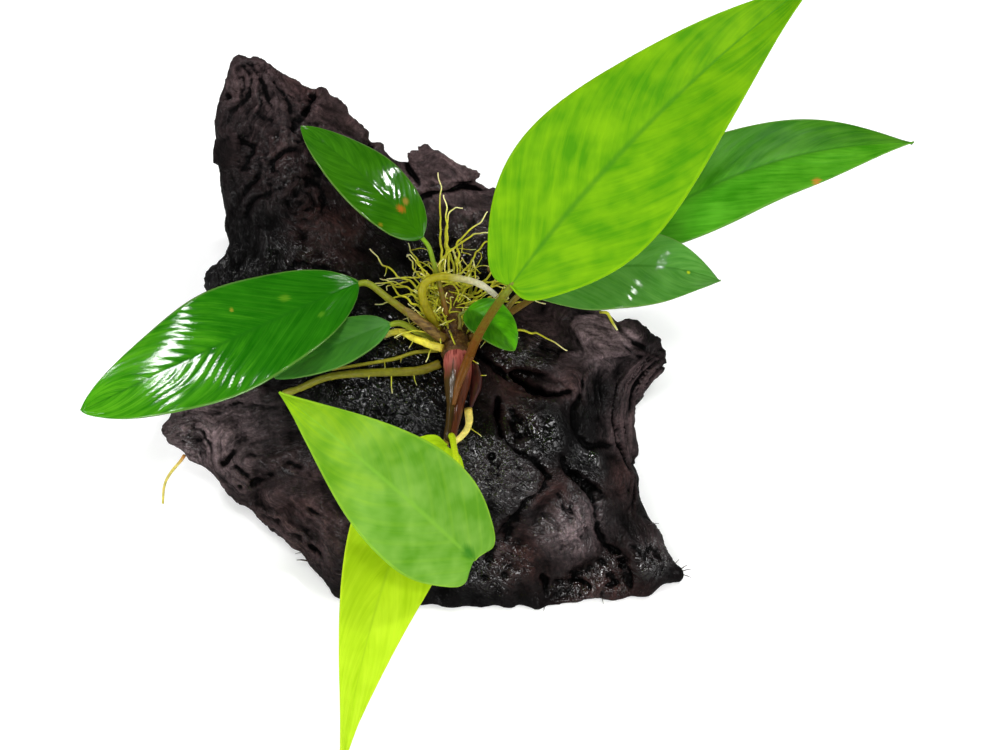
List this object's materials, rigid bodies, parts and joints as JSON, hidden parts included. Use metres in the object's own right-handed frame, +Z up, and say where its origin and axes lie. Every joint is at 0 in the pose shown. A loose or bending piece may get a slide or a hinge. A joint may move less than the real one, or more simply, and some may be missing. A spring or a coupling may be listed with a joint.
{
  "type": "anubias plant on driftwood",
  "caption": "Small broad-leaved anubias rooted on a rugged lump of dark wet driftwood, with its rhizome, stalks and roots.",
  "frame": {"origin": "on the flat underside of the driftwood, near its middle, at the level of the surface it rests on", "axes": "+Z up, +X to the viewer's right in the main view, +Y away from the viewer"},
  "size_m": [0.2055, 0.1816, 0.1143],
  "materials": {
    "dark_wood": "wet, rough and weathered, near black with reddish-brown patches",
    "rhizome_skin": "ringed, satin",
    "sheath_skin": "wet, glossy",
    "old_leaf": "leathery, glossy, dark green with lateral veins",
    "young_leaf": "thin, satin, light green with mottled veins",
    "green_stalk": "satin, olive turning brown at its foot",
    "thick_root": "satin, yellow-green",
    "fine_root": "satin, yellow with pale tips"
  },
  "bodies": {
    "root": {"crown_bud": "sheath_skin", "crown_sheath": "sheath_skin", "driftwood": "dark_wood", "leaf_1": "young_leaf", "leaf_2": "old_leaf", "leaf_3": "old_leaf", "leaf_4": "old_leaf", "leaf_5": "old_leaf", "leaf_6": "old_leaf", "leaf_7": "old_leaf", "leaf_8": "young_leaf", "leaf_9": "young_leaf", "rhizome": "rhizome_skin", "root_arch": "thick_root", "root_cream_front": "thick_root", "root_cream_left": "thick_root", "root_hanging": "thick_root", "root_high_right": "fine_root", "root_hook": "fine_root", "root_olive": "thick_root", "root_olive_thin": "thick_root", "root_right_lower": "fine_root", "root_right_upper": "fine_root", "root_stray_left": "fine_root", "root_stray_right": "fine_root", "root_tangle_1": "fine_root", "root_tangle_10": "fine_root", "root_tangle_11": "fine_root", "root_tangle_12": "fine_root", "root_tangle_2": "fine_root", "root_tangle_3": "fine_root", "root_tangle_4": "fine_root", "root_tangle_5": "fine_root", "root_tangle_6": "fine_root", "root_tangle_7": "fine_root", "root_tangle_8": "fine_root", "root_tangle_9": "fine_root", "root_up_left": "fine_root", "root_up_middle": "fine_root", "root_up_right": "fine_root", "stalk_1": "green_stalk", "stalk_2": "green_stalk", "stalk_3": "green_stalk", "stalk_4": "green_stalk", "stalk_5": "green_stalk", "stalk_6": "green_stalk", "stalk_7": "green_stalk", "stalk_8": "green_stalk", "stalk_9": "green_stalk"}
  },
  "joints": []
}
